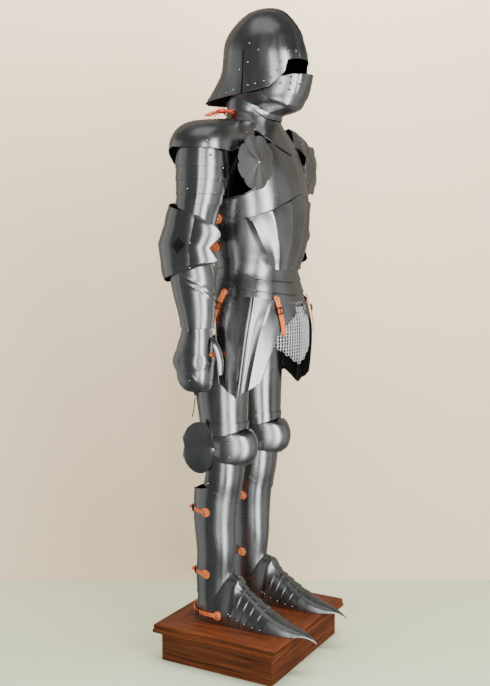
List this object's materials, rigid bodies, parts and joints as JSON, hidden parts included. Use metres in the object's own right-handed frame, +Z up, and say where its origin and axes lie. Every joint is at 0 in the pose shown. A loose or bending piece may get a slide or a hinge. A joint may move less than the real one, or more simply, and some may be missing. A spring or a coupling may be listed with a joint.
{
  "type": "suit of plate armour on a display stand",
  "caption": "Full suit of late medieval plate armour, worn by a hidden iron frame and standing on a wooden plinth.",
  "frame": {"origin": "centre of the plinth's underside, on the floor", "axes": "+Z up; the figure faces -Y, with its right side at -X"},
  "size_m": [0.6954, 0.497, 1.986],
  "materials": {
    "steel": "satin polished dark steel",
    "mail": "pale steel rings",
    "leather": "orange tan strap leather",
    "wood": "red-brown stained, satin varnish",
    "iron": "black paint"
  },
  "bodies": {
    "suit_and_stand": {"plinth_box": "wood", "plinth_top": "wood", "stand_frame": "iron", "sallet": "steel", "bevor": "steel", "gorget": "steel", "breastplate": "steel", "plackart": "steel", "backplate": "steel", "fauld_1": "steel", "fauld_2": "steel", "fauld_3": "steel", "culet": "steel", "tasset_right": "steel", "besagew_right": "steel", "pauldron_right": "steel", "arm_lames_right": "steel", "rerebrace_right": "steel", "couter_right": "steel", "vambrace_right": "steel", "cuisse_right": "steel", "knee_lame_upper_right": "steel", "poleyn_right": "steel", "knee_lame_lower_right": "steel", "greave_front_right": "steel", "greave_back_right": "steel", "sabaton_rear_right": "steel", "sabaton_lames_right": "steel", "toe_cap_right": "steel", "tasset_left": "steel", "besagew_left": "steel", "pauldron_left": "steel", "arm_lames_left": "steel", "rerebrace_left": "steel", "couter_left": "steel", "vambrace_left": "steel", "cuisse_left": "steel", "knee_lame_upper_left": "steel", "poleyn_left": "steel", "knee_lame_lower_left": "steel", "greave_front_left": "steel", "greave_back_left": "steel", "sabaton_rear_left": "steel", "sabaton_lames_left": "steel", "toe_cap_left": "steel", "mail_skirt": "mail", "tasset_strap_outer_right": "leather", "tasset_strap_inner_right": "leather", "tasset_strap_outer_left": "leather", "tasset_strap_inner_left": "leather"},
    "hand_right": {"hand_plate_right": "steel", "knuckle_plate_right": "steel", "finger_plates_right": "steel", "thumb_plate_right": "steel"},
    "hand_left": {"hand_plate_left": "steel", "knuckle_plate_left": "steel", "finger_plates_left": "steel", "thumb_plate_left": "steel"}
  },
  "joints": [
    {"name": "wrist_right", "type": "hinge", "parent": "suit_and_stand", "child": "hand_right", "pos_m": [-0.27, 0.031, 1.042], "axis": [1, 0, 0], "range_deg": [-15, 15]},
    {"name": "wrist_left", "type": "hinge", "parent": "suit_and_stand", "child": "hand_left", "pos_m": [0.27, 0.031, 1.042], "axis": [1, 0, 0], "range_deg": [-15, 15]}
  ]
}
